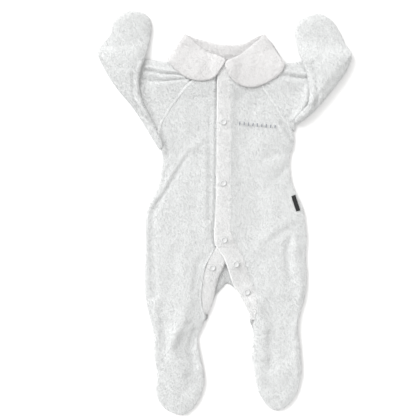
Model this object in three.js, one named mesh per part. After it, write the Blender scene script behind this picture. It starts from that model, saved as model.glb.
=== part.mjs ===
// A footed baby sleepsuit of terry towelling, laid flat on its back with both forearms folded up over the
// upper arms. Millimetres, +Z up, head towards +Y, origin on the floor under the middle of the body.
// "right" and "left" are the wearer's, so the right side lies at -X.
import * as THREE from "three";

// Driving sizes
const CLOTH = 2.8; // one layer of terry with its pile pressed flat
const GAP = 0.3; // between pieces that are sewn together or lie on each other
const SEAM = 0.9; // between two curved cloth edges that are sampled at different heights
const BODY_LOFT = 3; // how far the front stands off the back, well inside the edges
const MOST_LOFT = 3.65; // with the ridges on it, because nothing fills the empty garment
const LOFT_RUN = 16; // how far in from an edge that height is nearly reached
const FOREARM_LOFT = 3.4;
const FOREARM_RUN = 9;
const SLEEVE_INSIDE = 0.4; // between the two layers of a sleeve at its edges
const FOLD_INSIDE = 1; // between the upper arm and the forearm that is folded over it
const COLLAR_CLOTH = 2.8; // the collar is two layers of smooth knit
const LEAF_CLEARANCE = 1.1; // of a collar leaf over the creases under it, which it bridges
const NECK_DROP = { from: 220, run: 16 }; // a leaf comes down here, past the shoulders, to the neck's inside
const COLLAR_EDGE_CELL = 1.5; // the widest that the narrow cell at a collar's edge gets
const BAND_OVERLAP = CLOTH + 0.8; // the front band stands this much higher than the fronts
const UNDERLAP_EDGE = 6; // x of the hidden edge of the band under the front band
const UNDER_BAND_SEAM = -9; // x of the seam between the right front and that hidden band
const SHOULDER_Y = 219; // the top edge of the shoulders
const NECK_SEAM_Y = 204; // where the fronts and the back end under the collar
const ROW_STEP = 14; // the distance between two rows of points down a panel
const EDGE_ROW = 2; // a closer row at each end, for the rounded edge
const ROW_ROOM = 5; // no even row lies nearer than this to an end
const PANEL_CELLS = 6; // cells across half the body, besides a narrow one at each edge
const EDGE_SHARE = 0.55; // how much of a cloth edge's thickness is left by its rounding
const SNAP_RADIUS = 4.75;
const SNAP_HEIGHT = 1.7;
const SNAP_SIDES = 12;
// The cap's section, as [share of the radius, share of the height]: a raised ring round a dished middle
const SNAP_PROFILE = [
  [0, 0], [0.86, 0], [1, 0.35], [0.92, 0.85], [0.78, 1], [0.6, 0.8], [0.45, 0.5], [0, 0.5],
];
const LABEL_THICKNESS = 1.2;
const FLOOR = 0;
const BAND_TOP_Y = 199.5; // the snap bands end here, under the collar
const FRONT_BAND_END_Y = -50; // below this the upper band splits off down the left leg
const RIGHT_BAND_END_Y = -150; // where the bands die out on the inseams
const LEFT_BAND_END_Y = -158;
const BAND_TAIL = 4; // how far short of that the cloth of a band stops
const BAND_SHY = 1.2; // and how far short of the seam beside it
const TOE_Y = { right: -292, left: -285.5 };
const ARMPIT_Y = { right: 81, left: 117 };

// Outlines of the flat garment, as [y, x] rows from the head down
const RIGHT_RAGLAN = [
  [212, -40], [198, -44], [186, -51], [169, -65], [152, -78], [141, -85], [126, -93], [112, -95], [93, -92],
  [81, -89],
];
const LEFT_RAGLAN = [
  [210, 46], [195, 49], [180, 55], [168, 63.5], [157, 71], [145, 79], [133, 87], [124, 95], [117, 101],
];
const RIGHT_SIDE = [
  [80, -89], [61, -90.5], [40, -94], [24, -102], [9, -110], [-5, -113], [-27, -114], [-50, -113.5],
  [-76, -115], [-108, -115], [-127, -113.5], [-158, -106], [-175, -102], [-200, -102.5], [-221, -99],
  [-239, -97], [-253, -99.5], [-271, -97], [-281, -91], [-288, -81], [-292, -67],
];
const RIGHT_INSEAM = [
  [-60, 8], [-74, 0.6], [-87, -5.5], [-98, -11], [-110, -13], [-120, -14], [-133, -18.5], [-154, -27],
  [-168, -34], [-181, -41], [-203, -36], [-226, -32], [-243, -28.5], [-258, -32], [-277, -40], [-287, -49],
  [-292, -59],
];
const LEFT_SIDE = [
  [117, 101], [95, 99.5], [84, 94], [75, 92.5], [51, 95], [36, 97.5], [27, 103], [6, 113.5], [-8, 115.5],
  [-24, 117], [-42, 119], [-63, 116], [-92, 119], [-127, 115], [-136, 111], [-157, 106], [-173, 105],
  [-187, 108.5], [-206, 109.5], [-224, 111.5], [-240, 110], [-259, 105.5], [-273, 99], [-281, 89],
  [-285.5, 78],
];
const LEFT_INSEAM = [
  [200, -10.7], [196, -10.7], [18, -12.2], [-8, -13.5], [-31, -15.5], [-42, -15], [-53, -10.7], [-62, -2],
  [-73, 2], [-88, 6.5], [-103, 11], [-120, 20.5], [-135, 28.5], [-149, 35], [-162, 40], [-181, 43],
  [-198, 39], [-216, 40], [-234, 44.5], [-245, 44.5], [-258, 49], [-272, 54], [-281, 64], [-285.5, 71],
];
// The seam of each snap band, as [y, x] rows: it runs down from the neck and dies out on the inseam.
const LEFT_BAND_SEAM = [
  [204, 8], [-28, 8], [-38, 11.5], [-46, 17], [-59, 25], [-78, 31], [-103, 39], [-120, 46], [-138, 47.5],
  [-152, 44], [-163, 42],
];
const RIGHT_BAND_SEAM = [
  [204, UNDER_BAND_SEAM], [-36, UNDER_BAND_SEAM], [-55, -15], [-77, -28], [-100, -31], [-114, -34],
  [-130, -34], [-144, -31], [-154, -29],
];
const CROTCH = { x: 2.3, y: -101 };
// The edges of the puffed form, wider than the body from the armpit up, where the upper arms join it
const FORM_RIGHT = [[230, -190], [225, -185], [170, -150], [125, -115], [100, -101], [81, -89]];
const FORM_LEFT = [[230, 190], [222, 185], [181, 159], [150, 134], [136, 113], [117, 101]];

// Each sleeve: the outline of its fold, from the elbow to the armpit, and the forearm's two edges beyond it
const SLEEVES = {
  right: {
    raglan: RIGHT_RAGLAN,
    away: [-0.839, -0.544],
    fold: [
      [-184.5, 225], [-179.7, 215], [-169, 199], [-159, 183], [-150, 171], [-140, 162], [-130, 151],
      [-115, 126], [-108, 114], [-100.5, 99], [-95, 90],
    ],
    forearm: [
      { outer: [-184.5, 229], inner: [-97.5, 117] },
      { outer: [-183, 235], inner: [-104, 131] },
      { outer: [-180, 240], inner: [-111, 144] },
      { outer: [-176, 244], inner: [-118, 158] },
      { outer: [-172, 248], inner: [-122.5, 172] },
      { outer: [-168, 252.6], inner: [-123.8, 188] },
      { outer: [-164, 258], inner: [-121.5, 205] },
      { outer: [-162, 265], inner: [-115.5, 222] },
      { outer: [-161.5, 271], inner: [-110, 240] },
      { outer: [-159.5, 276.5], inner: [-106.5, 258] },
      { outer: [-155.5, 282], inner: [-106, 271] },
      { outer: [-150, 286], inner: [-108.5, 281] },
      { outer: [-143, 289.3], inner: [-116, 287.5] },
      { outer: [-137, 291.3], inner: [-123, 290.2] },
    ],
  },
  left: {
    raglan: LEFT_RAGLAN,
    away: [0.743, -0.669],
    fold: [
      [185, 222], [184.7, 215.6], [175, 201], [159, 181.5], [143.7, 162.7], [133.7, 150], [122.7, 140],
      [112.5, 134], [106, 126],
    ],
    forearm: [
      { outer: [184.5, 226], inner: [103.5, 138] },
      { outer: [182.5, 231], inner: [111, 144] },
      { outer: [179, 236], inner: [119, 150] },
      { outer: [175.5, 241.5], inner: [122.5, 163] },
      { outer: [172, 247.5], inner: [122, 180] },
      { outer: [169, 254], inner: [119, 200] },
      { outer: [166, 260.5], inner: [111, 219] },
      { outer: [162.5, 267], inner: [106, 234] },
      { outer: [158.5, 273], inner: [103, 250] },
      { outer: [153, 279.5], inner: [102.5, 263] },
      { outer: [146.5, 283.5], inner: [104.5, 273] },
      { outer: [140, 286.7], inner: [111, 279.5] },
      { outer: [133.5, 288], inner: [121.5, 285] },
    ],
  },
};

const UPPER_ARM_ROWS = 6; // rows of cells from the raglan seam to the fold
const TURN_STEPS = 5; // and round the fold
const FOLD_SHY = 0.8; // the fold's outside stays this far inside its outline
const FOREARM_DROP = { margin: 5, run: 20 }; // past the shoulder's top edge
const STRAIGHTENED_BY = 3; // the rows of the forearm from which they run straight across it
const TIP_ROUNDING = 1.2; // rows over which the mitt's tip gets thinner
const EDGE_SQUEEZE = 0.45; // how much of a sleeve's thickness is left at its edges and at the tip
const SLEEVE_EDGE_CELL = 1.8; // the widest that the narrow cell at a sleeve's edge gets
const SLEEVE_EDGE_RUN = 4.5; // how far in from an edge the sleeve has its whole thickness

// Collar leaves: sections from the neck fold to the outer edge, from the shoulder to the front tip
const COLLAR = {
  right: [
    { neck: [-57, 258], edge: [-82, 222] },
    { neck: [-50, 252], edge: [-77, 212] },
    { neck: [-42, 244], edge: [-66, 201] },
    { neck: [-33, 237], edge: [-52, 192.5] },
    { neck: [-24, 231], edge: [-38, 189] },
    { neck: [-14, 227.5], edge: [-24, 190] },
    { neck: [-6, 224], edge: [-13.5, 194.5] },
    { neck: [-1, 220.5], edge: [-7, 204] },
    { neck: [1.3, 219], edge: [0, 214.5] },
  ],
  left: [
    { neck: [58, 258], edge: [87, 213] },
    { neck: [51, 251], edge: [83, 203] },
    { neck: [44, 244.5], edge: [73, 193.5] },
    { neck: [36, 238], edge: [60, 186] },
    { neck: [28.5, 232], edge: [46, 180.5] },
    { neck: [21, 226], edge: [31, 180] },
    { neck: [13, 221.5], edge: [17.7, 185] },
    { neck: [7, 220], edge: [8, 194] },
    { neck: [3.5, 217.5], edge: [2.5, 202.5] },
    { neck: [1, 214], edge: [0.7, 209] },
  ],
};
// The inside of the back neck and the collar's fall behind it, as [x, lower y, upper y] columns
const NECK_INSIDE = [
  [-54, 248, 256], [-45, 226, 253], [-36, 213, 250], [-11, 207, 243], [3, 206.5, 242], [24, 207, 242],
  [38, 213, 249.5], [47, 226, 254], [56, 248, 257.5],
];
const COLLAR_FALL = [
  [-81, 217, 223], [-72, 204, 237], [-57, 194, 257.5], [-36, 188, 250], [-11, 186, 243], [3, 186, 242],
  [24, 186, 242], [38, 188, 249.5], [59, 193, 258], [74, 200, 238], [86, 208, 216],
];
const FALL_LIFT = CLOTH + GAP; // what lies over the collar's fall is raised by its thickness
// That rise starts below the fall and beside it, and takes these runs
const FALL_RISE = { y: 166, run: 14, middle: 2, halfWidth: 104, sideRun: 13 };
// Below the crotch each leg is a tube of its own: where its inner edge starts to bring the front down
const LEG_FORM = { above: 40, blend: 50, fuller: 1.15, run: LOFT_RUN * 0.8 };
// The front band's step down to the fronts beside it, and where it ends on the left leg
const BAND_STEP = { y: -98, run: 20, leftRun: 22, rightRun: 12 };

// Creases that sink the front (share of its loft) and ridges that raise it (mm), each with its half width
const CREASES = [
  { from: [-101, 0], to: [-100, -125], sink: 0.45, width: 6 },
  { from: [-47, 94], to: [-66, 68], sink: 0.4, width: 8 },
  { from: [-66, 68], to: [-90, 17], sink: 0.55, width: 7 },
  { from: [108, -45], to: [97, -73], sink: 0.6, width: 6 },
  { from: [97, -73], to: [98, -93], sink: 0.45, width: 6 },
  { from: [66, 100], to: [85, 99], sink: 0.45, width: 5 },
  { from: [-57, -183], to: [-46, -222], sink: 0.4, width: 8 },
  { from: [58, -157], to: [69, -200], sink: 0.4, width: 8 },
  { from: [-110, 205.5], to: [-63, 197], sink: 0.85, width: 4.5 },
  { from: [-121, 194], to: [-76, 187], sink: 0.7, width: 5 },
  { from: [85, 195], to: [118, 194], sink: 0.75, width: 5 },
  { from: [-20, 160], to: [-35, 60], sink: 0.18, width: 12 },
  { from: [40, 60], to: [48, -30], sink: 0.16, width: 14 },
];
const RIDGES = [
  { from: [86, 3], to: [60, -33], rise: 0.9, width: 8 },
  { from: [81, 118], to: [94, 103], rise: 1, width: 6 },
  { from: [-72, -160], to: [-64, -240], rise: 1.3, width: 9 },
  { from: [88, -170], to: [90, -240], rise: 1, width: 10 },
  { from: [-60, -60], to: [-66, -150], rise: 1.2, width: 16 },
  { from: [70, -95], to: [78, -150], rise: 1.2, width: 15 },
];
const SNAPS = [
  { name: "snap_chest", x: -1.5, y: 130, on: "front" },
  { name: "snap_waist", x: -1.8, y: 42, on: "front" },
  { name: "snap_crotch", x: -0.5, y: -40, on: "front" },
  { name: "snap_left_thigh", x: 16.5, y: -75, on: "left_leg" },
  { name: "snap_left_knee", x: 32.5, y: -115, on: "left_leg" },
  { name: "snap_right_thigh", x: -17.5, y: -80, on: "right_leg" },
];
const LABEL = { top: [99, 24.5], bottom: [106.5, 1.5], width: 6.2 };

// Colours of the cloth and the trimmings
const FINISH = {
  terry: { color: 0xe9ecec, roughness: 1, metalness: 0 },
  knit: { color: 0xf0efec, roughness: 0.95, metalness: 0 },
  snap: { color: 0xf2f3f2, roughness: 0.4, metalness: 0 },
  label: { color: 0x17181a, roughness: 0.6, metalness: 0 },
};

const mix = (a, b, share) => a + (b - a) * share;
const mix2 = (p, q, share) => [mix(p[0], q[0], share), mix(p[1], q[1], share)];
const clamp01 = (v) => Math.min(1, Math.max(0, v));
const smooth = (v) => {
  const s = clamp01(v);
  return s * s * (3 - 2 * s);
};
const fadeIn = (distance, run) => 1 - Math.exp(-Math.max(0, distance) / run);

// The x of an outline at a height y: rows run downwards, and a cubic joins them without corners.
function edgeAt(rows, y) {
  if (y >= rows[0][0]) return rows[0][1];
  const last = rows.length - 1;
  if (y <= rows[last][0]) return rows[last][1];
  let i = 0;
  while (rows[i + 1][0] > y) i += 1;
  const slope = (k) => {
    const a = rows[Math.max(0, k - 1)];
    const b = rows[Math.min(last, k + 1)];
    return (b[1] - a[1]) / (b[0] - a[0]);
  };
  const [y0, x0] = rows[i];
  const [y1, x1] = rows[i + 1];
  const run = y1 - y0;
  const s = (y - y0) / run;
  const s2 = s * s;
  const s3 = s2 * s;
  return (
    x0 * (2 * s3 - 3 * s2 + 1) +
    x1 * (3 * s2 - 2 * s3) +
    run * (slope(i) * (s3 - 2 * s2 + s) + slope(i + 1) * (s3 - s2))
  );
}

// A point along a list of points, 0 at its start and 1 at its end, by length.
function pointAlong(points, share) {
  const lengths = points.slice(1).map((p, i) => Math.hypot(p[0] - points[i][0], p[1] - points[i][1]));
  let left = share * lengths.reduce((a, b) => a + b, 0);
  for (let i = 0; i < lengths.length; i += 1) {
    if (left <= lengths[i] || i === lengths.length - 1) {
      return mix2(points[i], points[i + 1], clamp01(left / lengths[i]));
    }
    left -= lengths[i];
  }
  return points[0];
}

// How near a point is to a crease: 1 on its line, fading to 0 across its width and at its ends.
function nearness(x, y, crease) {
  const [ax, ay] = crease.from;
  const [bx, by] = crease.to;
  const length2 = (bx - ax) ** 2 + (by - ay) ** 2;
  const s = clamp01(((x - ax) * (bx - ax) + (y - ay) * (by - ay)) / length2);
  const away2 = (x - mix(ax, bx, s)) ** 2 + (y - mix(ay, by, s)) ** 2;
  return Math.exp(-away2 / crease.width ** 2);
}

function lift(x, y) {
  const { y: start, run, middle, halfWidth, sideRun } = FALL_RISE;
  return FALL_LIFT * smooth((y - start) / run) * smooth((halfWidth - Math.abs(x - middle)) / sideRun);
}

// How far the upper layer stands off the lower one.
function puff(x, y) {
  const left = y > LEFT_SIDE[0][0] ? edgeAt(FORM_LEFT, y) : edgeAt(LEFT_SIDE, y);
  const right = y > RIGHT_SIDE[0][0] ? edgeAt(FORM_RIGHT, y) : edgeAt(RIGHT_SIDE, y);
  let height = BODY_LOFT * fadeIn(left - x, LOFT_RUN) * fadeIn(x - right, LOFT_RUN);
  height *= fadeIn(SHOULDER_Y - y, LOFT_RUN);
  const onLeft = x > CROTCH.x;
  const below = CROTCH.y + LEG_FORM.above - y;
  if (below > 0) {
    const inner = onLeft ? x - edgeAt(LEFT_INSEAM, y) : edgeAt(RIGHT_INSEAM, y) - x;
    height *= mix(1, LEG_FORM.fuller * fadeIn(inner, LEG_FORM.run), smooth(below / LEG_FORM.blend));
  }
  height *= fadeIn(y - (onLeft ? TOE_Y.left : TOE_Y.right), LEG_FORM.run);
  const top = height;
  for (const crease of CREASES) height *= 1 - crease.sink * nearness(x, y, crease);
  const room = clamp01(top / BODY_LOFT);
  for (const ridge of RIDGES) height += ridge.rise * room * nearness(x, y, ridge);
  return Math.min(height, MOST_LOFT);
}

// The front band lies on the band under it, so it and the front sewn to it are higher there.
function overlap(x, y) {
  const rise = BAND_OVERLAP * smooth((y - BAND_STEP.y) / BAND_STEP.run);
  const seam = edgeAt(LEFT_BAND_SEAM, y);
  const edge = edgeAt(LEFT_INSEAM, y);
  if (x > seam) return rise * smooth(1 - (x - seam) / BAND_STEP.leftRun);
  if (x < edge) return rise * smooth(1 - (edge - x) / BAND_STEP.rightRun);
  return rise;
}

const frontUnder = (x, y) => lift(x, y) + CLOTH + GAP + puff(x, y);
const frontOver = (x, y) => frontUnder(x, y) + CLOTH;
const leftUnder = (x, y) => frontUnder(x, y) + overlap(x, y);

function meshFrom(name, finish, positions, triangles) {
  const geometry = new THREE.BufferGeometry();
  geometry.setAttribute("position", new THREE.Float32BufferAttribute(positions, 3));
  geometry.setIndex(triangles);
  geometry.computeVertexNormals();
  const mesh = new THREE.Mesh(geometry, new THREE.MeshStandardMaterial(finish));
  mesh.name = name;
  return mesh;
}

// A closed cloth wall over grids of [x, y] points that share their common edges. under(x, y) is its lower
// face, and its upper face is one thickness higher, less at the outer edges, which are rounded.
function clothPanel(name, finish, grids, under, thickness = CLOTH) {
  const points = [];
  const known = new Map();
  const vertex = ([x, y]) => {
    const key = x.toFixed(3) + " " + y.toFixed(3);
    if (!known.has(key)) {
      known.set(key, points.length);
      points.push([x, y]);
    }
    return known.get(key);
  };
  const faces = [];
  const addFace = (a, b, c) => {
    if (a === b || b === c || a === c) return;
    const [p, q, r] = [points[a], points[b], points[c]];
    const area = (q[0] - p[0]) * (r[1] - p[1]) - (q[1] - p[1]) * (r[0] - p[0]);
    if (Math.abs(area) > 1e-4) faces.push(area > 0 ? [a, b, c] : [a, c, b]);
  };
  for (const grid of grids) {
    for (let i = 0; i + 1 < grid.length; i += 1) {
      for (let j = 0; j + 1 < grid[i].length; j += 1) {
        const [a, b] = [vertex(grid[i][j]), vertex(grid[i][j + 1])];
        const [c, d] = [vertex(grid[i + 1][j + 1]), vertex(grid[i + 1][j])];
        addFace(a, b, c);
        addFace(a, c, d);
      }
    }
  }
  const edges = new Map();
  for (const face of faces) {
    face.forEach((a, k) => edges.set(a + " " + face[(k + 1) % 3], [a, face[(k + 1) % 3]]));
  }
  const rim = [...edges.values()].filter(([a, b]) => !edges.has(b + " " + a));
  const onRim = new Set(rim.flat());
  const positions = [];
  points.forEach(([x, y]) => positions.push(x, y, under(x, y)));
  points.forEach(([x, y], i) => {
    positions.push(x, y, under(x, y) + thickness * (onRim.has(i) ? EDGE_SHARE : 1));
  });
  const up = points.length;
  const triangles = [];
  for (const [a, b, c] of faces) triangles.push(a + up, b + up, c + up, a, c, b);
  for (const [a, b] of rim) triangles.push(a, b, b + up, a, b + up, a + up);
  return meshFrom(name, finish, positions, triangles);
}

// Shares across a piece of cloth that is `width` wide, with two narrow columns at each edge.
function columnShares(width, cells, edgeMm = 2) {
  const edge = Math.min(0.25 / cells + 0.02, edgeMm / width);
  const inner = Array.from({ length: cells + 1 }, (_, i) => mix(edge, 1 - edge, i / cells));
  return [0, ...inner, 1];
}

// Rows of points between two outlines, for heights from `top` down to `bottom`.
function rowsBetween(heights, leftEdge, rightEdge, cells) {
  return heights.map((y) => {
    const a = leftEdge(y);
    const b = rightEdge(y);
    return columnShares(Math.max(b - a, 1), cells).map((s) => [mix(a, b, s), y]);
  });
}

// Heights from top to bottom, with a close row at each end for the rounded edge. The others are the same in
// every panel, so that panels sewn side by side have the same chords.
function heightsBetween(top, bottom, step = ROW_STEP) {
  const even = [];
  for (let k = Math.floor((top - ROW_ROOM) / step); k * step > bottom + ROW_ROOM; k -= 1) even.push(k * step);
  return [top, top - EDGE_ROW, ...even, bottom + EDGE_ROW, bottom];
}

const rightOuter = (y) => (y > ARMPIT_Y.right ? edgeAt(RIGHT_RAGLAN, y) + SEAM : edgeAt(RIGHT_SIDE, y));
const leftOuter = (y) => (y > ARMPIT_Y.left ? edgeAt(LEFT_RAGLAN, y) - SEAM : edgeAt(LEFT_SIDE, y));
const rightBandSeam = (y) => edgeAt(RIGHT_BAND_SEAM, y);
const leftBandSeam = (y) => edgeAt(LEFT_BAND_SEAM, y);
const rightInseam = (y) => (y > -60 ? UNDERLAP_EDGE : edgeAt(RIGHT_INSEAM, y));
const leftInseam = (y) => edgeAt(LEFT_INSEAM, y);

function frontRight() {
  const inner = (y) => (y > RIGHT_BAND_END_Y ? rightBandSeam(y) : rightInseam(y));
  const rows = heightsBetween(NECK_SEAM_Y, TOE_Y.right);
  const grid = rowsBetween(rows, rightOuter, inner, PANEL_CELLS);
  return clothPanel("front_right", FINISH.terry, [grid], frontUnder);
}

function frontLeft() {
  const inner = (y) => (y > LEFT_BAND_END_Y ? leftBandSeam(y) + GAP : leftInseam(y));
  const rows = heightsBetween(NECK_SEAM_Y, TOE_Y.left);
  const grid = rowsBetween(rows, inner, leftOuter, PANEL_CELLS);
  return clothPanel("front_left", FINISH.terry, [grid], leftUnder);
}

function bands() {
  const strip = (name, top, bottom, a, b, under) =>
    clothPanel(name, FINISH.knit, [rowsBetween(heightsBetween(top, bottom), a, b, 2)], under);
  const leftSeam = (y) => leftBandSeam(y) - GAP;
  const rightSeam = (y) => rightBandSeam(y) + SEAM;
  const rightEdge = (y) => Math.max(rightInseam(y), rightBandSeam(y) + BAND_SHY);
  const [leftEnd, rightEnd] = [LEFT_BAND_END_Y + BAND_TAIL, RIGHT_BAND_END_Y + BAND_TAIL];
  return [
    strip("front_band", BAND_TOP_Y, FRONT_BAND_END_Y, leftInseam, leftBandSeam, leftUnder),
    strip("leg_band_left", FRONT_BAND_END_Y - GAP, leftEnd, leftInseam, leftSeam, leftUnder),
    strip("leg_band_right", BAND_TOP_Y, rightEnd, rightSeam, rightEdge, frontUnder),
  ];
}

// The back is cut in one, with both legs: two grids down the trunk and one down each leg. Each leg's inner
// edge starts at the crotch and reaches its inseam a little lower.
function backPanel() {
  const cells = PANEL_CELLS;
  const neckMiddle = -1;
  const middle = (y) => mix(neckMiddle, CROTCH.x, smooth((NECK_SEAM_Y - y) / NECK_SEAM_Y));
  const legTop = CROTCH.y;
  const spread = { right: 19, left: 6 };
  const trunk = heightsBetween(NECK_SEAM_Y, legTop + EDGE_ROW);
  trunk[trunk.length - 1] = legTop;
  const inner = {
    right: (y) => mix(CROTCH.x, edgeAt(RIGHT_INSEAM, y), smooth((legTop - y) / spread.right)),
    left: (y) => mix(CROTCH.x, edgeAt(LEFT_INSEAM, y), smooth((legTop - y) / spread.left)),
  };
  const legs = (toe) => [legTop, legTop - 5, legTop - 11, ...heightsBetween(legTop - 19, toe).slice(1)];
  return clothPanel(
    "back_panel",
    FINISH.terry,
    [
      rowsBetween(trunk, rightOuter, middle, cells),
      rowsBetween(trunk, middle, leftOuter, cells),
      rowsBetween(legs(TOE_Y.right), rightOuter, inner.right, cells),
      rowsBetween(legs(TOE_Y.left), inner.left, leftOuter, cells),
    ],
    lift,
  );
}

// A sleeve is a flat tube: each row holds its points across, the heights of its four cloth faces there, and
// how far the row has turned round the fold. Faces 0 and 3 are its outside, 1 and 2 its inside.
function sleeveRows(side) {
  const { raglan, away, fold, forearm } = SLEEVES[side];
  const seam = (u) => {
    const y = mix(raglan[0][0], raglan[raglan.length - 1][0], u);
    return [edgeAt(raglan, y), y];
  };
  const upperLayers = ([x, y]) => {
    const low = lift(x, y);
    const standOff = low + CLOTH + SLEEVE_INSIDE + puff(x, y);
    return [low, low + CLOTH, standOff, standOff + CLOTH];
  };
  const turnHeight = (p) => upperLayers(p)[3] + FOLD_INSIDE / 2;
  const foldPoint = (share) => {
    const outline = pointAlong(fold, share);
    const near = turnHeight(outline) + FOLD_SHY;
    return [outline[0] - away[0] * near, outline[1] - away[1] * near];
  };
  const rows = [];
  for (let i = 0; i <= UPPER_ARM_ROWS; i += 1) {
    const s = i / UPPER_ARM_ROWS;
    rows.push({ at: (u) => mix2(seam(u), foldPoint(u), s), layers: () => upperLayers });
  }
  for (let i = 1; i < TURN_STEPS; i += 1) {
    rows.push({ at: foldPoint, turn: (Math.PI * i) / TURN_STEPS, layers: () => upperLayers });
  }
  // Past the shoulder the forearm comes down from the upper arm to the floor.
  const dropped = (p) => {
    const past = p[1] - SHOULDER_Y - FOREARM_DROP.margin;
    return smooth(past / FOREARM_DROP.run) * (turnHeight(p) + FOLD_INSIDE / 2);
  };
  const over = (share, width, foldLoft) => (p) => {
    const base = turnHeight(p) + FOLD_INSIDE / 2 - dropped(p);
    const own = FOREARM_LOFT * fadeIn(share * width, FOREARM_RUN) * fadeIn((1 - share) * width, FOREARM_RUN);
    const loft = SLEEVE_INSIDE + mix(puff(p[0], p[1]), own, foldLoft);
    return [base + 2 * CLOTH + loft, base + CLOTH + loft, base + CLOTH, base];
  };
  const stations = [{ outer: foldPoint(0), inner: foldPoint(1) }, ...forearm];
  stations.forEach(({ outer, inner }, i) => {
    const width = Math.hypot(outer[0] - inner[0], outer[1] - inner[1]);
    const straight = smooth(i / STRAIGHTENED_BY);
    const along = i === 0 ? 0 : mix(0.6, 1, straight);
    rows.push({
      at: (u) => mix2(foldPoint(u), mix2(outer, inner, u), along),
      layers: (u) => over(u, width, straight),
      closing: mix(EDGE_SQUEEZE, 1, fadeIn(stations.length - 1 - i, TIP_ROUNDING)),
    });
  });
  return rows;
}

function sleeve(side) {
  const rows = sleeveRows(side);
  const { away } = SLEEVES[side];
  const cells = 6;
  const positions = [];
  const triangles = [];
  const width = (row) => {
    const [a, b] = [row.at(0), row.at(1)];
    return Math.hypot(a[0] - b[0], a[1] - b[1]);
  };
  const place = (row, u, face) => {
    const p = row.at(u);
    const layers = row.layers(u)(p);
    const middle = (layers[0] + layers[3]) / 2;
    const edgeMm = Math.min(u, 1 - u) * width(row);
    const outside = face === 0 || face === 3;
    const rounding = outside ? mix(EDGE_SQUEEZE, 1, smooth(edgeMm / SLEEVE_EDGE_RUN)) : 1;
    const squeeze = rounding * (row.closing ?? 1);
    const height = mix(middle, layers[face], squeeze);
    if (!row.turn) return [p[0], p[1], height];
    const centre = layers[3] + FOLD_INSIDE / 2;
    const reach = centre - height;
    const out = reach * Math.sin(row.turn);
    return [p[0] + away[0] * out, p[1] + away[1] * out, centre - reach * Math.cos(row.turn)];
  };
  const ring = (row, faces, inset) => {
    const margin = inset / width(row);
    const shares = columnShares(width(row), cells, SLEEVE_EDGE_CELL).map((s) => mix(margin, 1 - margin, s));
    const start = positions.length / 3;
    shares.forEach((u) => positions.push(...place(row, u, faces[0])));
    [...shares].reverse().forEach((u) => positions.push(...place(row, u, faces[1])));
    return { start, count: 2 * shares.length };
  };
  const outer = rows.map((row) => ring(row, [0, 3], 0));
  const inner = rows.slice(0, -1).map((row) => ring(row, [1, 2], CLOTH));
  const flipped = side === "right";
  const face = (a, b, c) => triangles.push(...(flipped ? [a, c, b] : [a, b, c]));
  const join = (first, second, inward) => {
    for (let i = 0; i < first.count; i += 1) {
      const j = (i + 1) % first.count;
      const [a, b, c, d] = [first.start + i, first.start + j, second.start + j, second.start + i];
      if (inward) {
        face(a, b, c);
        face(a, c, d);
      } else {
        face(a, c, b);
        face(a, d, c);
      }
    }
  };
  const cap = (end, inward) => {
    const half = end.count / 2;
    for (let i = 0; i + 1 < half; i += 1) {
      const [a, b] = [end.start + i, end.start + i + 1];
      const [c, d] = [end.start + end.count - 2 - i, end.start + end.count - 1 - i];
      if (inward) {
        face(a, b, c);
        face(a, c, d);
      } else {
        face(a, c, b);
        face(a, d, c);
      }
    }
  };
  outer.slice(1).forEach((next, i) => join(outer[i], next, false));
  inner.slice(1).forEach((next, i) => join(inner[i], next, true));
  join(outer[0], inner[0], true);
  cap(outer[outer.length - 1], false);
  cap(inner[inner.length - 1], true);
  return meshFrom("sleeve_" + side, FINISH.terry, positions, triangles);
}

// Sections of a collar leaf, resampled so that its edge is round.
function leafGrid(sections, perSection = 2, cells = 5) {
  const grid = [];
  const column = (key, axis) => sections.map((s, i) => [-i, s[key][axis]]);
  const tables = {
    neck: [column("neck", 0), column("neck", 1)],
    edge: [column("edge", 0), column("edge", 1)],
  };
  const last = (sections.length - 1) * perSection;
  for (let i = 0; i <= last; i += 1) {
    const at = (key) => tables[key].map((table) => edgeAt(table, -i / perSection));
    const [neck, edge] = [at("neck"), at("edge")];
    const width = Math.hypot(neck[0] - edge[0], neck[1] - edge[1]);
    grid.push(columnShares(width, cells, COLLAR_EDGE_CELL).map((s) => mix2(neck, edge, s)));
  }
  return grid;
}

function leafUnder(x, y) {
  const onFront = frontOver(x, y) + overlap(x, y) + LEAF_CLEARANCE;
  const onNeck = FALL_LIFT + CLOTH + GAP;
  return mix(onFront, onNeck, smooth((y - NECK_DROP.from) / NECK_DROP.run));
}

// Columns of points between a lower and an upper edge, given as [x, lower y, upper y].
function columnGrid(columns, cells = 4, perColumn = 2) {
  const table = (k) => columns.map((c, i) => [-i, c[k]]);
  const [xs, lows, highs] = [table(0), table(1), table(2)];
  const last = (columns.length - 1) * perColumn;
  return Array.from({ length: last + 1 }, (_, i) => {
    const [x, low, high] = [xs, lows, highs].map((t) => edgeAt(t, -i / perColumn));
    return columnShares(high - low, cells, COLLAR_EDGE_CELL).map((s) => [x, mix(low, high, s)]);
  });
}

function collar() {
  return [
    clothPanel("collar_right", FINISH.knit, [leafGrid(COLLAR.right)], leafUnder, COLLAR_CLOTH),
    clothPanel("collar_left", FINISH.knit, [leafGrid(COLLAR.left)], leafUnder, COLLAR_CLOTH),
    clothPanel("neck_inside", FINISH.knit, [columnGrid(NECK_INSIDE, 3)], () => FALL_LIFT),
    clothPanel("collar_back", FINISH.knit, [columnGrid(COLLAR_FALL, 4, 1)], () => FLOOR),
  ];
}

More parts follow.
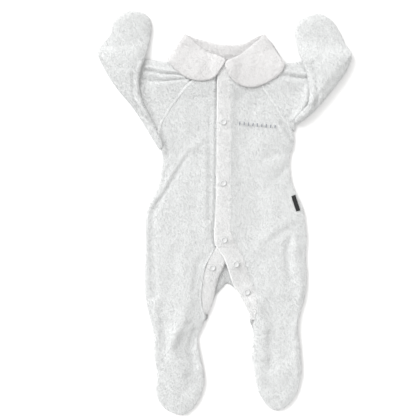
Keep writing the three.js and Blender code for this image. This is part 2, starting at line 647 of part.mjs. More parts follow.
// A snap's cap: a flat ring with a dished middle, lying on the highest point of the cloth under it.
function snap({ name, x, y, on }) {
  const under = on === "right_leg" ? frontUnder : leftUnder;
  let seat = 0;
  const probes = 8;
  for (let i = 0; i < probes; i += 1) {
    const angle = (2 * i * Math.PI) / probes;
    for (const r of [0, SNAP_RADIUS]) {
      seat = Math.max(seat, under(x + r * Math.cos(angle), y + r * Math.sin(angle)));
    }
  }
  const profile = SNAP_PROFILE.map(([r, z]) => new THREE.Vector2(r * SNAP_RADIUS, z * SNAP_HEIGHT));
  const cap = new THREE.LatheGeometry(profile, SNAP_SIDES);
  const mesh = new THREE.Mesh(cap, new THREE.MeshStandardMaterial(FINISH.snap));
  mesh.rotation.x = Math.PI / 2;
  mesh.position.set(x, y, seat + CLOTH + GAP);
  mesh.name = name;
  return mesh;
}

// The blank woven label, folded once and caught in the left side seam.
function sideLabel() {
  const { top, bottom, width } = LABEL;
  const length = Math.hypot(bottom[0] - top[0], bottom[1] - top[1]);
  const across = [-(bottom[1] - top[1]) / length, (bottom[0] - top[0]) / length];
  const rows = [0, 0.08, 0.36, 0.64, 0.92, 1].map((s) => {
    const [x, y] = mix2(top, bottom, s);
    return [-0.5, -0.3, 0, 0.3, 0.5].map((w) => [x + across[0] * w * width, y + across[1] * w * width]);
  });
  return clothPanel("side_label", FINISH.label, [rows], (x, y) => frontOver(x, y) + GAP, LABEL_THICKNESS);
}

const group = new THREE.Group();
group.add(backPanel(), frontRight(), frontLeft(), ...bands());
group.add(sleeve("right"), sleeve("left"), ...collar());
group.add(sideLabel(), ...SNAPS.map(snap));
export default group;
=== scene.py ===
import math

import bmesh
import bpy
import numpy as np
from bpy.props import FloatProperty, FloatVectorProperty, IntProperty, PointerProperty
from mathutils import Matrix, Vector
from mathutils.bvhtree import BVHTree
from mathutils.noise import noise


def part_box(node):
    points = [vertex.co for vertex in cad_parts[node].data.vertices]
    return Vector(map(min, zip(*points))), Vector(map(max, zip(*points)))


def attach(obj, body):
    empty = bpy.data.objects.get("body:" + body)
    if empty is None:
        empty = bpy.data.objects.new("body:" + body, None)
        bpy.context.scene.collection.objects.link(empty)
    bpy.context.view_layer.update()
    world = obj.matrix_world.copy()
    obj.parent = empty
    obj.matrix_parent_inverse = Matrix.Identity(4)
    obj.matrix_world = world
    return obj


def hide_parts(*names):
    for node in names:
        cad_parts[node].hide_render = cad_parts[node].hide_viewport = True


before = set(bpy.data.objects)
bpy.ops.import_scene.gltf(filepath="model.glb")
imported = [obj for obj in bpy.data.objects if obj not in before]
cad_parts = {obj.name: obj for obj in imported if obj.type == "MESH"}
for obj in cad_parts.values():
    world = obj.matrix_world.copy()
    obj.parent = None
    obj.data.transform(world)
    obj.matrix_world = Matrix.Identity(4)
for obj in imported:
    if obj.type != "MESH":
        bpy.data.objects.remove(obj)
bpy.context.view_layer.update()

bl_info = {
    "name": "Terry Sleepsuit",
    "version": (1, 0, 0),
    "blender": (4, 5, 0),
    "location": "View3D > Sidebar > Sleepsuit",
    "description": "Dresses a flat-laid footed sleepsuit in terry, smooth knit, stitches and snaps",
    "category": "Object",
}

MM = 0.001
BODY = "root"

# The photograph's width in pixels, what one of them covers on the floor in mm, and the one on the origin
PHOTO_PIXELS, PIXEL_MM, ORIGIN_PIXEL = 416, 1.45, (224.4, 212.2)
SENSOR, LENS = 36.0, 85.0
# The window is broad and low on the upper left, and the ceiling light is broader still, overhead: the way to
# each, its strength, how many degrees wide it looks and its colour
LAMPS = [
    ("window", (-0.72, 0.55, 0.68), 2.6, 40.0, (0.99, 0.997, 1.0)),
    ("ceiling", (0.1, 0.0, 1.0), 0.7, 70.0, (1.0, 0.997, 0.99)),
]
ROOM_COLOUR, ROOM_STRENGTH = (1.0, 0.995, 0.985, 1.0), 0.67
FLOOR_REACH, FLOOR_TOP, FLOOR_COLOUR = 9.0, -0.2 * MM, (0.97, 0.97, 0.97)

# The nap of the terry lies towards the feet and the wearer's left, in clumps of this width and length.
NAP = Vector((0.42, -0.9, 0.0)).normalized()
NAP_TURN = math.atan2(NAP.x, -NAP.y)
CLUMP_WIDTH, CLUMP_LENGTH = 0.8 * MM, 1.8 * MM
# How far each pile stands up from lying flat, how much single tufts stray, and how much their clumps do
PILE_LIE = {
    "pile": (0.9, 0.45, 3.6), "welt_pile": (0.9, 0.4, 3.6),
    "band_pile": (1.0, 0.4, 3.2), "nap": (0.9, 0.5, 4.6),
}
# How many tufts a raised seam has for each one on as much terry
WELT_PILE = 0.65

# The pieces of terry, and those of smooth knit, with the levels of subdivision that each gets
TERRY = {"front_right": 3, "front_left": 3, "sleeve_right": 2, "sleeve_left": 2, "back_panel": 2}
KNIT = {
    "front_band": 3, "leg_band_left": 3, "leg_band_right": 2,
    "collar_right": 2, "collar_left": 2, "neck_inside": 2, "collar_back": 2,
}
BAND_PIECES = ("front_band", "leg_band_left", "leg_band_right")
SNAPS = ("snap_chest", "snap_waist", "snap_crotch", "snap_left_thigh", "snap_left_knee", "snap_right_thigh")
# How uneven each kind of cloth lies, in mm
TERRY_SOFT, KNIT_SOFT = 0.45, 0.2

# Painted contact shade: heights in metres between which the cloth's colour darkens towards what it lies on,
# and how dark it gets there
PAINTED_SHADE_BELOW, UNSHADED_ABOVE, PAINTED_SHADE_TONE = 1.2 * MM, 4.6 * MM, 0.72

# Creases: their points in mm on the laid-out suit, how far they sink or rise in mm, and half their width
BODY_CREASES = [
    ([(-50, 88), (-67, 62), (-81, 37), (-96, 15)], -1.2, 3.6),
    ([(-38, 100), (-57, 82), (-73, 59), (-88, 33), (-101, 12)], 1.2, 6.4),
    ([(-96, 15), (-104, -2), (-105, -38), (-103, -86), (-101, -120)], -1.9, 4.4),
    ([(-88, 66), (-98, 36)], 0.7, 5.0), ([(-28, 90), (-27, 30), (-28, -34)], 0.9, 7.0),
    ([(-21, 150), (-22, 60), (-23, -10)], -0.9, 4.0), ([(-44, 160), (-36, 122)], -0.7, 9.0),
    ([(-60, 130), (-52, 104)], 0.7, 8.0), ([(-52, -30), (-60, -90), (-52, -126)], 0.9, 12.0),
    ([(-70, -60), (-82, -130)], -0.8, 11.0), ([(-58, -150), (-74, -182)], 1.3, 9.0),
    ([(-70, -172), (-77, -196), (-73, -214), (-60, -228)], 2.1, 7.5),
    ([(-43, -172), (-51, -202), (-44, -220)], -2.6, 4.6), ([(-92, -162), (-87, -194)], -1.1, 7.0),
    ([(-88, -250), (-80, -268)], -0.9, 6.0), ([(-62, -262), (-48, -248)], -0.9, 7.0),
    ([(-39, -72), (-45, -112)], -0.9, 4.0), ([(95, -38), (89, -57), (91, -81), (95, -97)], -1.5, 4.6),
    ([(102, -33), (99, -67), (101, -86)], 0.7, 5.0),
    ([(100, -9), (76, -21), (56, -40), (46, -53)], 0.6, 7.5), ([(95, -22), (69, -39)], -0.5, 6.0),
    ([(82, 127), (93, 112), (99, 102)], -1.0, 3.6), ([(79, 124), (88, 110), (93, 103)], 0.9, 3.2),
    ([(60, 79), (77, 86), (91, 86)], -0.8, 5.0), ([(46, 98), (69, 67)], 0.6, 9.0),
    ([(90, 68), (78, 50)], -0.8, 6.0), ([(40, 150), (34, 100)], -0.8, 10.0),
    ([(46, 40), (52, -20)], -0.8, 11.0), ([(66, 20), (72, -10)], 0.7, 9.0),
    ([(13, -47), (30, -78), (47, -120)], -0.9, 6.0), ([(60, -84), (80, -118)], 0.9, 10.0),
    ([(34, -150), (47, -183), (56, -207)], 1.3, 5.5), ([(63, -176), (70, -205), (66, -224)], -1.9, 5.5),
    ([(100, -163), (104, -232)], 1.0, 6.0), ([(88, -170), (86, -210)], -0.9, 7.0),
    ([(18, -45), (34, -95)], -1.6, 8.0), ([(43, -130), (52, -152), (60, -178)], 2.1, 8.5),
    ([(68, -132), (80, -170), (86, -205)], -2.0, 10.0), ([(104, -50), (109, -110), (105, -165)], 1.1, 6.0),
    ([(18, 160), (19, 60)], -0.9, 7.0), ([(44, -206), (52, -236)], 0.9, 6.0),
    ([(62, 150), (74, 120)], 0.6, 9.0), ([(-100, -128), (-96, -168), (-98, -212)], 1.0, 6.0),
    ([(-70, 100), (-64, 60)], -0.6, 9.0), ([(-40, -60), (-48, -120), (-60, -150)], 0.7, 8.0),
    ([(62, -250), (78, -262)], -0.9, 6.0), ([(90, -246), (98, -232)], -0.8, 6.0),
]
SLEEVE_CREASES = [
    ([(-114, 206), (-101, 202.5), (-88, 200), (-74, 199.5), (-60, 197.5)], -2.4, 1.9),
    ([(-122, 194), (-106, 190), (-90, 188.8), (-72, 191), (-50, 193.5)], -2.2, 1.9),
    ([(-112, 210), (-88, 205), (-62, 202)], 2.2, 3.0), ([(-115, 200), (-88, 195), (-58, 195)], 1.7, 2.6),
    ([(-104, 183), (-84, 182)], 0.8, 4.0), ([(-100, 160), (-86, 158)], -0.8, 6.0),
    ([(86, 198), (102, 194.5), (121, 193)], -2.4, 1.9), ([(88, 204), (104, 201), (120, 199)], 2.0, 3.2),
    ([(84, 190), (112, 187)], 0.9, 3.6), ([(82, 182), (96, 176), (108, 174)], -0.9, 3.6),
    ([(100, 150), (94, 138)], -0.9, 5.0), ([(108, 160), (100, 146)], 0.9, 4.0),
    # The upper arm swells up against the forearm that lies on it.
    ([(-122, 178), (-119, 160), (-110, 142), (-102, 125), (-97, 112)], 3.2, 5.0),
    ([(119, 178), (117, 160), (110, 146), (102, 137)], 3.0, 5.0),
]
FOREARM_CREASES = [
    ([(-121, 214), (-126, 200), (-126, 186), (-124.5, 171), (-119.5, 156), (-113, 145), (-106, 133)],
     1.2, 2.8),
    ([(-132, 197), (-131.5, 172), (-126.5, 153), (-118, 139)], -2.4, 2.6),
    ([(-110, 134), (-103, 122), (-97, 110), (-91, 97)], -2.4, 4.5), ([(-160, 264), (-149, 256)], -1.1, 6.0),
    ([(-132, 272), (-122, 247)], -0.9, 7.0), ([(-150, 240), (-140, 214)], -0.8, 8.0),
    ([(-166, 226), (-152, 200)], 0.8, 8.0), ([(-143, 262), (-128, 232)], 0.8, 7.0),
    ([(111, 228), (118, 213), (124.5, 189), (126.5, 165), (124, 150), (115, 140)], 1.4, 3.2),
    ([(127, 214), (132.5, 189), (134, 168), (130, 152)], -2.4, 3.0), ([(114, 262), (124, 247)], -1.0, 6.0),
    ([(140, 262), (152, 232)], -0.8, 8.0), ([(152, 214), (160, 200)], 0.8, 8.0),
]
COLLAR_CREASES = [
    ([(-46, 230), (-54, 212)], -0.6, 10.0), ([(-18, 217), (-24, 205)], -0.4, 9.0),
    ([(-68, 230), (-73, 220)], 0.5, 7.0), ([(-34, 214), (-38, 202)], 0.4, 8.0),
    ([(23, 209), (19, 197)], -0.5, 7.0), ([(11, 207), (13, 200)], 0.4, 6.0),
    ([(46, 222), (50, 204)], -0.6, 10.0), ([(64, 232), (72, 220)], -0.6, 8.0),
    ([(34, 214), (37, 202)], 0.4, 8.0),
]
NECK_CREASES = [
    ([(-50, 252), (-28, 235), (-9, 222), (1, 219), (10.5, 222), (30, 235), (51, 250)], -1.6, 4.5),
]
BAND_CREASES = [
    ([(-10, 181), (0, 178), (8, 181)], -0.6, 2.2), ([(-10, 120), (0, 118), (8, 121)], -0.5, 2.2),
    ([(-10, 108), (8, 107)], -0.5, 2.4), ([(-10, 96), (0, 98), (8, 96)], -0.4, 2.4),
    ([(-8, 60), (-6, 20)], 0.4, 4.0), ([(5, 158), (5, 100)], -0.3, 2.5), ([(-4, -20), (2, -34)], -0.5, 4.0),
    ([(14, -70), (26, -105)], -0.5, 4.0), ([(-24, -70), (-22, -95)], 0.5, 5.0),
]
CREASES = {
    "sleeve_right": SLEEVE_CREASES, "sleeve_left": SLEEVE_CREASES,
    "collar_right": COLLAR_CREASES, "collar_left": COLLAR_CREASES, "neck_inside": NECK_CREASES,
    "front_band": BAND_CREASES, "leg_band_left": BAND_CREASES, "leg_band_right": BAND_CREASES,
}

# Where a shell is divided more finely for its narrow creases: x, y and z ranges in mm
FINE = {
    "sleeve_right": [((-126, -44), (180, 218), (6, 13.5)), ((-136, -94), (118, 218), (11, 24))],
    "sleeve_left": [((80, 126), (170, 212), (6, 13.5)), ((108, 140), (134, 232), (8, 24))],
}

# The raglan seams from the neck down and the row of chest stitches, as (x, y) points in mm
RAGLAN_RIGHT = [
    (-38, 197), (-44.5, 190), (-51.5, 184.5), (-58.5, 177), (-65, 169), (-71.5, 160.5), (-78, 152),
    (-85, 141), (-90, 132), (-93.5, 124), (-95.2, 116), (-94, 107), (-92, 98),
]
RAGLAN_LEFT = [
    (50.5, 188), (54.5, 181), (60.5, 172.5), (66.5, 164.5), (73, 154.5), (79, 145), (85, 136),
    (90.5, 128.5), (96, 122.5),
]
CHEST_MARKS = [(21.9, 128), (47.3, 125.5), (72.65, 123)]
# The rolled edges of the front band and the left leg band, which are bare of pile this far in
BAND_EDGE = [(-10.2, 197), (-11.6, 120), (-12.1, 40), (-13.2, 0), (-15.2, -30), (-14.2, -44), (-10, -53)]
LEG_EDGE = [
    (-9.4, -54), (-1.2, -62), (2.8, -73), (7.4, -88), (12, -103), (21.5, -120), (29.5, -135), (35.5, -148),
]
BARE_EDGES, BARE_RIM = [BAND_EDGE, LEG_EDGE], 0.9
# The seams of the bands, where the two cloths are drawn level; the second is the right inseam
BAND_SEAMS = [
    [(8, 204), (8, -28), (11.5, -38), (17, -46), (25, -59), (31, -78), (39, -103), (46, -120), (47.5, -138),
     (44, -152), (42, -163)],
    [(-15, -55), (-28, -77), (-31, -100), (-34, -114), (-34, -130), (-31, -144), (-29, -154)],
    [(-9, -50), (20, -50)],
]
# All sizes from here to the label's are in mm on the laid-out suit, and a width is half that of a ridge or
# a groove.
# How much deeper the creases of the fronts and the bands are drawn than the table says
BODY_RELIEF = 1.6
# The cloth is level this far round the middle of each snap.
SNAP_REACH = 8.0
# How far the seams of the bands are filled up, more in the deeper right inseam, and how far their rims close
SEAM_FILL, INSEAM_FILL, SEAM_FILL_WIDTH = 1.15, 0.6, 1.7
SEAM_CLOSE, SEAM_CLOSE_WIDTH = 0.5, 1.4
# From this height on the laid-out suit, and over this length, the bands run further up under the collar.
BAND_TOP, BAND_RUN, BAND_REACH = 190.0, 9.5, 14.0
# No crease sinks the cloth further than this.
DEEPEST = 2.2
# The right front rises to meet the end of the folded sleeve, which lies against it.
ELBOW_SIDE, ELBOW_RISE, ELBOW_WIDTH = [(-95, 122), (-94, 112), (-90, 99), (-88, 88)], 3.4, 3.6
# Gaps that the rounded edges leave at the armpits and where the leg bands end, and how far the cloths
# are drawn together there
JOINS = [
    ([(95.5, 119), (96.5, 125)], 1.3), ([(-92, 108), (-89, 96)], 0.8),
    ([(-27.5, -148), (-26.5, -154)], 2.4), ([(40, -155), (41, -161)], 2.4),
]
JOIN_WIDTH = 2.4
# The right front sinks in a groove this far outside the band's edge, where the photograph has a dark line.
GROOVE, GROOVE_WIDTH, GROOVE_OUTSIDE = 2.4, 1.9, 1.4
# A sleeve's cloth is forearm from this height up, or past this far up the suit, and how softly each begins
FOREARM_HEIGHT, FOREARM_PAST = (10.4, 1.2), (222, 8)
# The cloth's unevenness: the share of each size of hill, that size in metres, and its seed
UNEVEN = [(0.6, 34 * MM, 3), (0.4, 12 * MM, 5)]
# The raised raglan seams: their height in metres, the step between their sections, and the sides of a section
WELT_HEIGHT, WELT_STEP, WELT_SIDES = 0.85 * MM, 2.5, 9
LABEL_TOP, LABEL_BOTTOM, LABEL_WIDTH = (99, 24.5), (106.5, 1.5), 6.2
# The folded ribbon's section: across it in widths, and above what it lies on in mm, one layer thick
LAYER = 0.38
RIBBON_SECTION = [
    (0.5, 0.0), (0.0, 0.0), (-0.42, 0.04), (-0.48, 0.2), (-0.5, 0.52), (-0.48, 0.84), (-0.42, 1.0),
    (0.0, 1.08), (0.5, 1.12), (0.5, 1.12 - LAYER), (0.0, 1.08 - LAYER), (-0.38, 1.0 - LAYER), (-0.42, 0.52),
    (-0.38, LAYER), (0.0, LAYER), (0.5, LAYER),
]
RIBBON_ROWS = 24
# A snap cap's section, from its dished middle over its ring to its flat base, in shares of its radius
# and its height
CAP_SECTION = [
    (0.0, 0.42), (0.3, 0.4), (0.47, 0.46), (0.58, 0.78), (0.68, 0.97), (0.8, 1.0), (0.9, 0.88),
    (0.98, 0.55), (1.0, 0.25), (0.93, 0.0), (0.0, 0.0),
]
CAP_SEGMENTS = 40
# How far up the normal of an upper face points: where a shell is refined, where pile is looked for straight
# up, on a welt, and from where and over how much of it the creases take hold
UP_REFINED, UP_SIGHT, UP_WELT, UP_SHAPED = 0.15, 0.12, 0.3, (0.25, 0.5)
# A face is in sight if nothing lies over it within this reach, starting this far off it.
SIGHT_REACH, SIGHT_START = 14 * MM, 0.35 * MM
# A face that looks down this much, or that lies this low on a rim, is the cloth's under side, and it has no
# pile where it lies lower than the last height.
UNDER_TILT, UNDER_RIM, UNDER_HEIGHT = -0.6, 1.2 * MM, 6 * MM


def linear(hex_colour):
    """An sRGB colour written as #rrggbb, as the linear RGBA that the nodes take."""
    channels = [int(hex_colour[i:i + 2], 16) / 255 for i in (1, 3, 5)]
    return [c / 12.92 if c <= 0.04045 else ((c + 0.055) / 1.055) ** 2.4 for c in channels] + [1.0]


def length(name, description, default_mm):
    """A size that the panel shows as a length."""
    return FloatProperty(name=name, description=description, default=default_mm * MM, unit="LENGTH")


def thickly(name, description, default):
    """A number of tufts on each square centimetre."""
    return FloatProperty(name=name, description=description, default=default)


def colour_of(name, description, default_hex):
    """A colour of the suit, whose default is written as #rrggbb."""
    return FloatVectorProperty(
        name=name, description=description, subtype="COLOR", default=tuple(linear(default_hex)[:3]),
    )


class SuitSizes(bpy.types.PropertyGroup):
    pile_length: length("Pile length", "How long the loops of the terry are, lying down", 1.7)
    pile_width: length("Pile width", "Half the thickness of one tuft of loops at its foot", 0.4)
    pile_per_cm2: thickly("Tufts per cm2", "How thickly the tufts stand on the terry and the bands", 130.0)
    band_pile: length("Band pile", "Length of the pile on the snap bands", 1.5)
    knit_pile: length("Collar nap", "Length of the short nap on the collar", 1.3)
    nap_per_cm2: thickly("Nap per cm2", "How thickly the short nap stands on the collar", 130.0)
    stitch_length: length("Stitch length", "Length of one stitch of a chest mark", 1.6)
    thread: length("Thread", "Thickness of the embroidery thread", 1.4)
    mark_pitch: length("Mark pitch", "From one chest mark to the next", 5.6)
    mark_length: length("Mark length", "Height of one chest mark", 3.6)
    mark_raised: length("Mark raised", "How far the marks stand up through the pile", 2.7)
    welt: length("Seam welt", "Half the width of the raised raglan seam", 2.3)
    seed: IntProperty(name="Seed", description="Where the tufts fall", default=7)


class SuitColours(bpy.types.PropertyGroup):
    terry: colour_of("Terry", "Colour of the terry", "#e0e1e1")
    knit: colour_of("Collar", "Colour of the collar's smooth knit", "#dddcdc")
    band: colour_of("Snap bands", "Colour of the snap bands", "#e2e2e2")
    snap: colour_of("Snaps", "Colour of the snap caps", "#cbcccc")
    thread: colour_of("Chest stitches", "Colour of the plain stitches on the chest", "#82868f")
    label: colour_of("Side label", "Colour of the blank label", "#151618")


def add_node(tree, kind, links=None, **settings):
    """Adds a node with its settings; each input is set, or linked where a socket is given."""
    node = tree.nodes.new(kind)
    for key, value in settings.items():
        setattr(node, key, value)
    for key, value in (links or {}).items():
        socket = node.inputs[key]
        if isinstance(value, bpy.types.NodeSocket):
            tree.links.new(value, socket)
        else:
            socket.default_value = value
    return node


def new_material(name, colour, roughness, sheen=0.0, gloss=0.2):
    """A material with its tree. The low gloss and the wide sheen are those of dry fibres."""
    material = bpy.data.materials.new(name)
    material.use_nodes = True
    settings = {
        "Base Color": [*colour, 1.0], "Roughness": roughness, "Sheen Weight": sheen, "Sheen Roughness": 0.6,
        "Specular IOR Level": gloss,
    }
    for key, value in settings.items():
        material.node_tree.nodes["Principled BSDF"].inputs[key].default_value = value
    return material, material.node_tree


def object_coordinates(tree, repeat, turn=0.0):
    """Object coordinates, turned about Z and scaled so that the pattern repeats after so many mm.

    One size serves all three ways. A noise repeats about once a unit at scale 1, and a wave at scale 0.31.
    """
    sizes = repeat if isinstance(repeat, tuple) else (repeat,) * 3
    where = add_node(tree, "ShaderNodeTexCoord")
    return add_node(tree, "ShaderNodeMapping", {
        "Vector": where.outputs["Object"], "Scale": tuple(1 / (size * MM) for size in sizes),
        "Rotation": (0.0, 0.0, turn),
    }).outputs["Vector"]


def patterned(tree, colour, tint, pattern, relief=None, strength=0.0, depth=0.0):
    """Lets a pattern darken and lighten the colour by a share of it, and a relief raise the surface."""
    shader = tree.nodes["Principled BSDF"]
    low = [c * (1 - tint) for c in colour] + [1.0]
    high = [min(1.0, c * (1 + tint * 0.5)) for c in colour] + [1.0]
    blend = add_node(tree, "ShaderNodeMix", {0: pattern, 6: low, 7: high}, data_type="RGBA")
    tree.links.new(blend.outputs[2], shader.inputs["Base Color"])
    if relief is not None:
        bump = add_node(tree, "ShaderNodeBump", {"Strength": strength, "Distance": depth, "Height": relief})
        tree.links.new(bump.outputs["Normal"], shader.inputs["Normal"])


def paint_contact_shade(tree):
    """Paints shade into the cloth's colour close to the surface it lies on, darker the lower it lies."""
    base = tree.nodes["Principled BSDF"].inputs["Base Color"]
    where = add_node(tree, "ShaderNodeTexCoord")
    height = add_node(tree, "ShaderNodeSeparateXYZ", {"Vector": where.outputs["Object"]})
    contact_shade = add_node(tree, "ShaderNodeMapRange", {
        "Value": height.outputs["Z"], "From Min": PAINTED_SHADE_BELOW, "From Max": UNSHADED_ABOVE,
        "To Min": PAINTED_SHADE_TONE, "To Max": 1.0,
    }, interpolation_type="SMOOTHSTEP")
    both = add_node(tree, "ShaderNodeMix", {
        0: 1.0, 6: base.links[0].from_socket, 7: contact_shade.outputs["Result"],
    }, data_type="RGBA", blend_type="MULTIPLY")
    tree.links.new(both.outputs[2], base)


def terry_material(name, colour, tint):
    """Short loops that lie over in soft streaks of about 3 x 8 mm, with single loops of 1.1 mm on them."""
    material, tree = new_material(name, colour, 1.0, sheen=0.12)
    streak = object_coordinates(tree, (3, 8, 3), NAP_TURN)
    streaks = add_node(tree, "ShaderNodeTexNoise", {"Vector": streak, "Scale": 1.0, "Detail": 3.0})
    fine = object_coordinates(tree, 1.1)
    loops = add_node(tree, "ShaderNodeTexNoise", {"Vector": fine, "Scale": 1.0, "Detail": 2.0})
    both = add_node(
        tree, "ShaderNodeMath", {0: streaks.outputs["Fac"], 1: loops.outputs["Fac"]}, operation="MULTIPLY",
    )
    spread = add_node(
        tree, "ShaderNodeMapRange", {"Value": both.outputs[0], "From Min": 0.12, "From Max": 0.42},
    )
    patterned(tree, colour, tint, spread.outputs["Result"], both.outputs[0], 0.6, 0.8 * MM)
    # Painted contact shade: the colour darkens towards the floor.
    paint_contact_shade(tree)
    return material


def loop_material(name, colour, tint):
    """Tufts of loops, each patch of about 1.7 x 5.5 mm a little lighter or darker than the next."""
    material, tree = new_material(name, colour, 1.0, sheen=0.1)
    where = object_coordinates(tree, (1.7, 5.5, 1.7), NAP_TURN)
    tufts = add_node(tree, "ShaderNodeTexNoise", {"Vector": where, "Scale": 1.0, "Detail": 1.0})
    spread = add_node(
        tree, "ShaderNodeMapRange", {"Value": tufts.outputs["Fac"], "From Min": 0.35, "From Max": 0.65},
    )
    patterned(tree, colour, tint, spread.outputs["Result"])
    # Painted contact shade: the colour darkens towards the floor.
    paint_contact_shade(tree)
    return material


def knit_material(name, colour, tint):
    """Wales 1.4 mm apart and patches of down of 2 mm, coarser than the real ones so that they show."""
    material, tree = new_material(name, colour, 0.95, sheen=0.08)
    wale = object_coordinates(tree, 1.4)
    waves = add_node(
        tree, "ShaderNodeTexWave", {"Vector": wale, "Scale": 0.32, "Distortion": 1.2, "Detail": 1.0},
        wave_type="BANDS", bands_direction="X",
    )
    down = add_node(tree, "ShaderNodeTexNoise", {"Vector": wale, "Scale": 0.7, "Detail": 3.0})
    both = add_node(
        tree, "ShaderNodeMath", {0: waves.outputs["Fac"], 1: down.outputs["Fac"]}, operation="MULTIPLY",
    )
    patterned(tree, colour, tint, down.outputs["Fac"], both.outputs[0], 0.35, 0.4 * MM)
    return material


def snap_material(name, colour, tint):
    """Caps that are satin from the mould, with a faint mottle where they were polished."""
    material, tree = new_material(name, colour, 0.5, gloss=0.35)
    where = object_coordinates(tree, 1.5)
    mottle = add_node(tree, "ShaderNodeTexNoise", {"Vector": where, "Scale": 1.0, "Detail": 2.0})
    patterned(tree, colour, tint, mottle.outputs["Fac"], mottle.outputs["Fac"], 0.1, 0.1 * MM)
    return material


def label_material(name, colour, tint):
    """A ribbon with the ribs of its weft 0.8 mm apart, coarser than the real ones so that they show."""
    material, tree = new_material(name, colour, 0.5, sheen=0.3)
    where = object_coordinates(tree, 0.8, math.radians(17))
    ribs = add_node(
        tree, "ShaderNodeTexWave", {"Vector": where, "Scale": 0.31, "Distortion": 0.3},
        wave_type="BANDS", bands_direction="Y",
    )
    patterned(tree, colour, tint, ribs.outputs["Fac"], ribs.outputs["Fac"], 0.4, 0.2 * MM)
    return material


def plain_material(name, colour, tint, roughness, sheen, speck):
    """A plain stuff with faint specks, so many mm wide."""
    material, tree = new_material(name, colour, roughness, sheen)
    specks = add_node(tree, "ShaderNodeTexNoise", {"Vector": object_coordinates(tree, speck), "Scale": 1.0})
    patterned(tree, colour, tint, specks.outputs["Fac"])
    return material


def thread_material(name, colour, tint):
    """Thread with the twist of its plies, about 0.4 mm long."""
    return plain_material(name, colour, tint, 0.7, 0.2, 0.4)


# Each finish: the material's name, what makes it, which of the suit's colours it takes, and how far its
# pattern tints that colour
FINISHES = {
    # Brushed cotton terry looks matt and downy, without a glint.
    "terry": ("brushed_cotton_terry", terry_material, "terry", 0.07),
    # The tufts are the same cotton, and shade each other into soft streaks.
    "pile": ("cotton_loop_pile", loop_material, "terry", 0.1),
    # Brushed interlock is smoother, so it looks flatter and a little warmer than the terry.
    "knit": ("brushed_interlock_knit", knit_material, "knit", 0.05),
    # Its down is so short that it only softens the edges.
    "nap": ("knit_nap", loop_material, "knit", 0.07),
    # The bands are pressed, so their rolled edge shows bare and light.
    "band": ("pressed_interlock_band", knit_material, "band", 0.05),
    # The pile on them is shorter and strays less, so they look smoother and lighter than the fronts.
    "band_pile": ("band_loop_pile", loop_material, "band", 0.07),
    # Moulded acetal is smooth and dense, with a small soft highlight.
    "snap": ("moulded_acetal_snap", snap_material, "snap", 0.03),
    # Woven polyester ribbon gives black a satin gleam along its ribs.
    "label": ("woven_polyester_ribbon", label_material, "label", 0.4),
    # Spun polyester thread catches a touch more light than the cloth that it lies on.
    "thread": ("spun_polyester_thread", thread_material, "thread", 0.05),
}


def suit():
    """The sizes and the colours that the panel shows."""
    scene = bpy.context.scene
    return scene.suit_sizes, scene.suit_colours


def finish_material(kind):
    """The material of a finish, which is made when it is first asked for."""
    name, make, colour, tint = FINISHES[kind]
    return bpy.data.materials.get(name) or make(name, getattr(suit()[1], colour), tint)


def link_piece(name, mesh, material):
    """Puts a finished mesh in the scene as a piece that rides on the suit's body."""
    piece = bpy.data.objects.new(name, mesh)
    bpy.context.scene.collection.objects.link(piece)
    piece.data.materials.clear()
    piece.data.materials.append(material)
    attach(piece, BODY)
    return piece


def ramp(value, start, width):
    """A smooth rise from 0 at the start to 1 a width further on."""
    s = np.clip((value - start) / width, 0.0, 1.0)
    return s * s * (3 - 2 * s)


def away_from(x, y, line):
    """The distance in mm of points from a line of (x, y) points, as numpy arrays."""
    nearest = np.full(np.shape(x), np.inf)
    for (ax, ay), (bx, by) in zip(line, line[1:]):
        length2 = (bx - ax) ** 2 + (by - ay) ** 2
        s = np.clip(((x - ax) * (bx - ax) + (y - ay) * (by - ay)) / length2, 0, 1)
        nearest = np.minimum(nearest, np.hypot(x - ax - s * (bx - ax), y - ay - s * (by - ay)))
    return nearest


def crease_heights(x, y, creases):
    """The summed depth of the creases at points given in mm."""
    height = np.zeros_like(x)
    for line, depth, width in creases:
        height += depth * np.exp(-((away_from(x, y, line) / width) ** 2))
    return height


def level_at_snaps(x, y):
    """1 away from the snaps and 0 at them, so that the cloth stays level under each cap."""
    level = np.ones_like(x)
    for node in SNAPS:
        low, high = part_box(node)
        middle = (low + high) / 2 / MM
        level *= 1 - np.exp(-((((x - middle.x) ** 2 + (y - middle.y) ** 2) / SNAP_REACH**2) ** 2))
    return level


def vectors_of(mesh, kind):
    """The mesh's points ("co") or the normals at them ("normal"), as rows."""
    values = np.zeros(len(mesh.vertices) * 3)
    mesh.vertices.foreach_get(kind, values)
    return values.reshape(-1, 3)


def move_points(mesh, co):
    """Puts the mesh's points where the rows say."""
    mesh.vertices.foreach_set("co", co.ravel())
    mesh.update()


def merged_copy(node, name):
    """A copy of a CAD node's mesh with its points merged and its triangles paired into quads."""
    bm = bmesh.new()
    bm.from_mesh(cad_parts[node].data)
    bmesh.ops.remove_doubles(bm, verts=bm.verts, dist=0.02 * MM)
    bmesh.ops.join_triangles(
        bm, faces=bm.faces, angle_face_threshold=math.radians(40), angle_shape_threshold=math.radians(60),
    )
    mesh = bpy.data.meshes.new(name)
    bm.to_mesh(mesh)
    bm.free()
    return mesh


def subdivided(mesh, name, levels):
    """The mesh after Catmull-Clark subdivision, as a plain mesh."""
    carrier = bpy.data.objects.new(name, mesh)
    bpy.context.scene.collection.objects.link(carrier)
    rounding = carrier.modifiers.new("rounding", "SUBSURF")
    rounding.levels = rounding.render_levels = levels
    depsgraph = bpy.context.evaluated_depsgraph_get()
    finished = bpy.data.meshes.new_from_object(carrier.evaluated_get(depsgraph))
    bpy.data.objects.remove(carrier)
    bpy.data.meshes.remove(mesh)
    finished.name = name
    finished.shade_smooth()
    return finished


